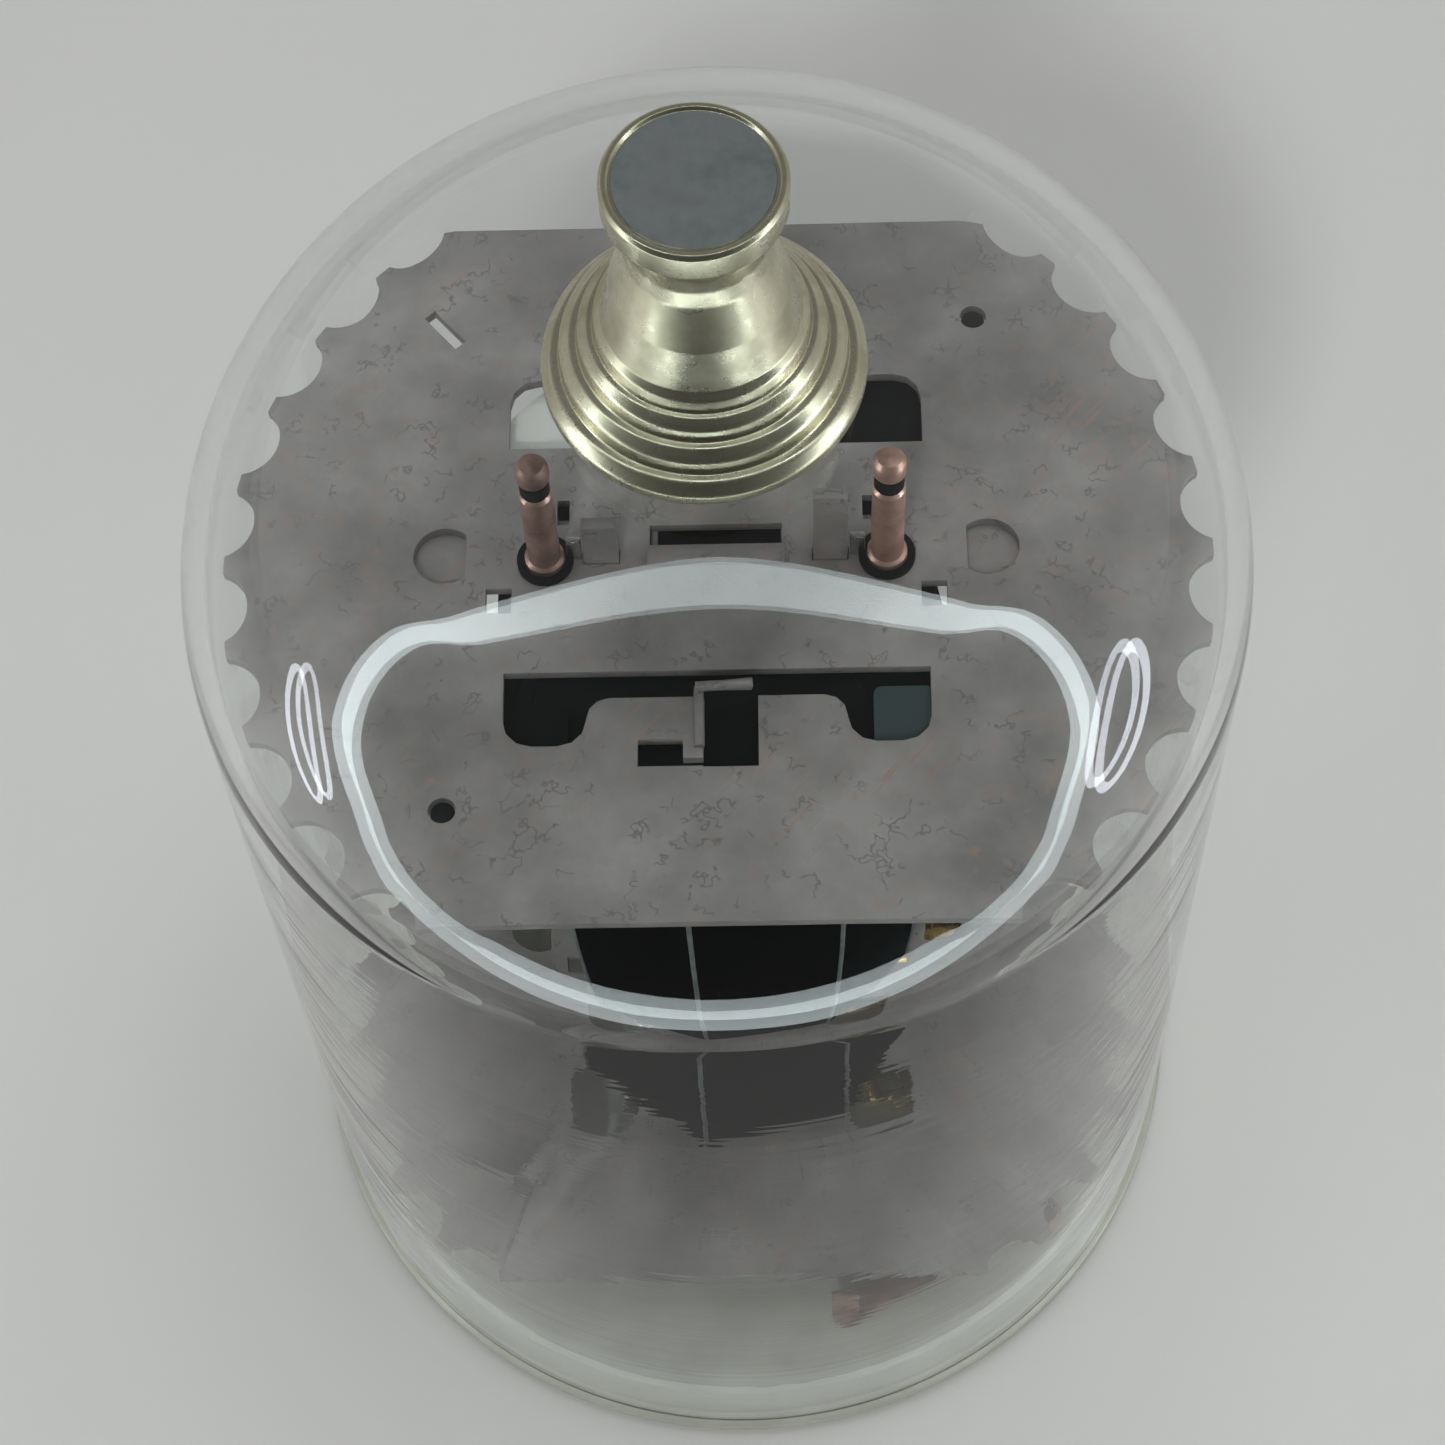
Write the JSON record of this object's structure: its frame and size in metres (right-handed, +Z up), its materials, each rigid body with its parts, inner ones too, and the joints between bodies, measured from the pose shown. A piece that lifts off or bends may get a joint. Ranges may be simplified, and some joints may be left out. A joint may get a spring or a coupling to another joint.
{
  "type": "wind up music box",
  "caption": "Musical carousel: a clear domed cover with a turned knob over two scalloped plates on a mirrored column, turned by a wind up movement in the base.",
  "frame": {"origin": "centre of the foot ring's lower face, on the surface the box stands on", "axes": "+Z up along the carousel's axis, +X along the pinned cylinder, -Y the front"},
  "size_m": [0.0884, 0.0884, 0.1552],
  "materials": {
    "felt_dark": "pressed felt",
    "pan_enamel": "pale grey enamel on drawn steel",
    "turned_brass": "turned and stamped",
    "lid_nickel": "nickel plated",
    "bed_zinc": "pale grey lacquered steel",
    "key_steel": "stamped, zinc plated",
    "bright_steel": "turned, bright",
    "spring_blue": "blued spring steel",
    "comb_steel": "ground and tuned",
    "black_plastic": "moulded",
    "plate_steel": "mill finish with light rust",
    "core_wood": "dark stained",
    "mirror_glass": "dark silvered glass strip",
    "copper_plate": "copper plated",
    "clear_cover": "clear, polished",
    "knob_gold": "nickel brass, turned",
    "washer_rubber": "moulded"
  },
  "bodies": {
    "base": {"base_foot_ring": "felt_dark", "base_pan": "pan_enamel", "arbor_bush": "turned_brass", "click_screw": "bright_steel", "bedplate": "bed_zinc", "bedplate_screws": "bright_steel", "cylinder_bracket": "turned_brass", "gear_cheek": "turned_brass", "governor_frame": "turned_brass", "bracket_screws": "bright_steel", "comb_riser": "turned_brass", "music_comb": "comb_steel", "comb_screws": "bright_steel", "lever_stud": "bright_steel"},
    "key": {"winding_key": "key_steel", "winding_arbor": "bright_steel", "ratchet_wheel": "key_steel"},
    "click": {"click_pawl": "key_steel"},
    "carousel": {"spring_barrel": "turned_brass", "barrel_lid": "lid_nickel", "mainspring": "spring_blue", "drive_hub": "turned_brass", "lower_plate": "plate_steel", "column_core": "core_wood", "column_cap": "black_plastic", "mirror_panel_1": "mirror_glass", "mirror_panel_2": "mirror_glass", "mirror_panel_3": "mirror_glass", "mirror_panel_4": "mirror_glass", "mirror_panel_5": "mirror_glass", "mirror_panel_6": "mirror_glass", "mirror_panel_7": "mirror_glass", "mirror_panel_8": "mirror_glass", "top_bridge": "plate_steel", "bridge_screws": "bright_steel", "top_plate": "plate_steel", "copper_post_left": "copper_plate", "copper_post_right": "copper_plate", "lug_clips": "bright_steel", "tie_rod": "bright_steel", "tie_washer": "bright_steel", "tie_nut": "bright_steel"},
    "cylinder": {"music_cylinder": "turned_brass", "cylinder_pins": "turned_brass", "cylinder_arbor": "bright_steel", "cylinder_pinion": "turned_brass", "cylinder_wheel": "turned_brass"},
    "transfer": {"transfer_pinion": "turned_brass", "transfer_arbor": "bright_steel", "worm_wheel": "turned_brass"},
    "governor": {"governor_worm": "bright_steel", "governor_fly": "black_plastic"},
    "stop": {"stop_lever": "copper_plate"},
    "cover": {"glass_cover": "clear_cover", "cover_knob": "knob_gold", "knob_felt": "felt_dark", "knob_washer": "washer_rubber", "knob_screw": "bright_steel"}
  },
  "joints": [
    {"name": "carousel_spin", "type": "hinge", "parent": "base", "child": "carousel", "pos_m": [0, 0, 0.0087], "axis": [0, 0, 1], "continuous": true},
    {"name": "cylinder_spin", "type": "hinge", "parent": "base", "child": "cylinder", "pos_m": [0.0135, 0, 0.013], "axis": [1, 0, 0], "continuous": true},
    {"name": "transfer_spin", "type": "hinge", "parent": "base", "child": "transfer", "pos_m": [0.031, -0.00453, 0.01089], "axis": [1, 0, 0], "continuous": true},
    {"name": "governor_spin", "type": "hinge", "parent": "base", "child": "governor", "pos_m": [0.0345, -0.00772, 0.0087], "axis": [0, 0, 1], "continuous": true},
    {"name": "key_wind", "type": "hinge", "parent": "base", "child": "key", "pos_m": [0, 0, 0.0028], "axis": [0, 0, 1], "continuous": true},
    {"name": "click_pivot", "type": "hinge", "parent": "base", "child": "click", "pos_m": [0.0066, 0.0074, 0.0056], "axis": [0, 0, 1], "range_deg": [0, 9], "stiffness_Nm_per_rad": 0.002},
    {"name": "stop_lever_pivot", "type": "hinge", "parent": "base", "child": "stop", "pos_m": [0.029, -0.024, 0.0104], "axis": [0, 0, 1], "range_deg": [-2.5, 0]},
    {"name": "cover_lift", "type": "slide", "parent": "base", "child": "cover", "axis": [0, 0, 1], "range_m": [0, 0.12]}
  ],
  "couplings": [
    {"joint": "cylinder_spin", "follows": "carousel_spin", "ratio": 3.5},
    {"joint": "transfer_spin", "follows": "carousel_spin", "ratio": -10.5},
    {"joint": "governor_spin", "follows": "carousel_spin", "ratio": -168}
  ]
}
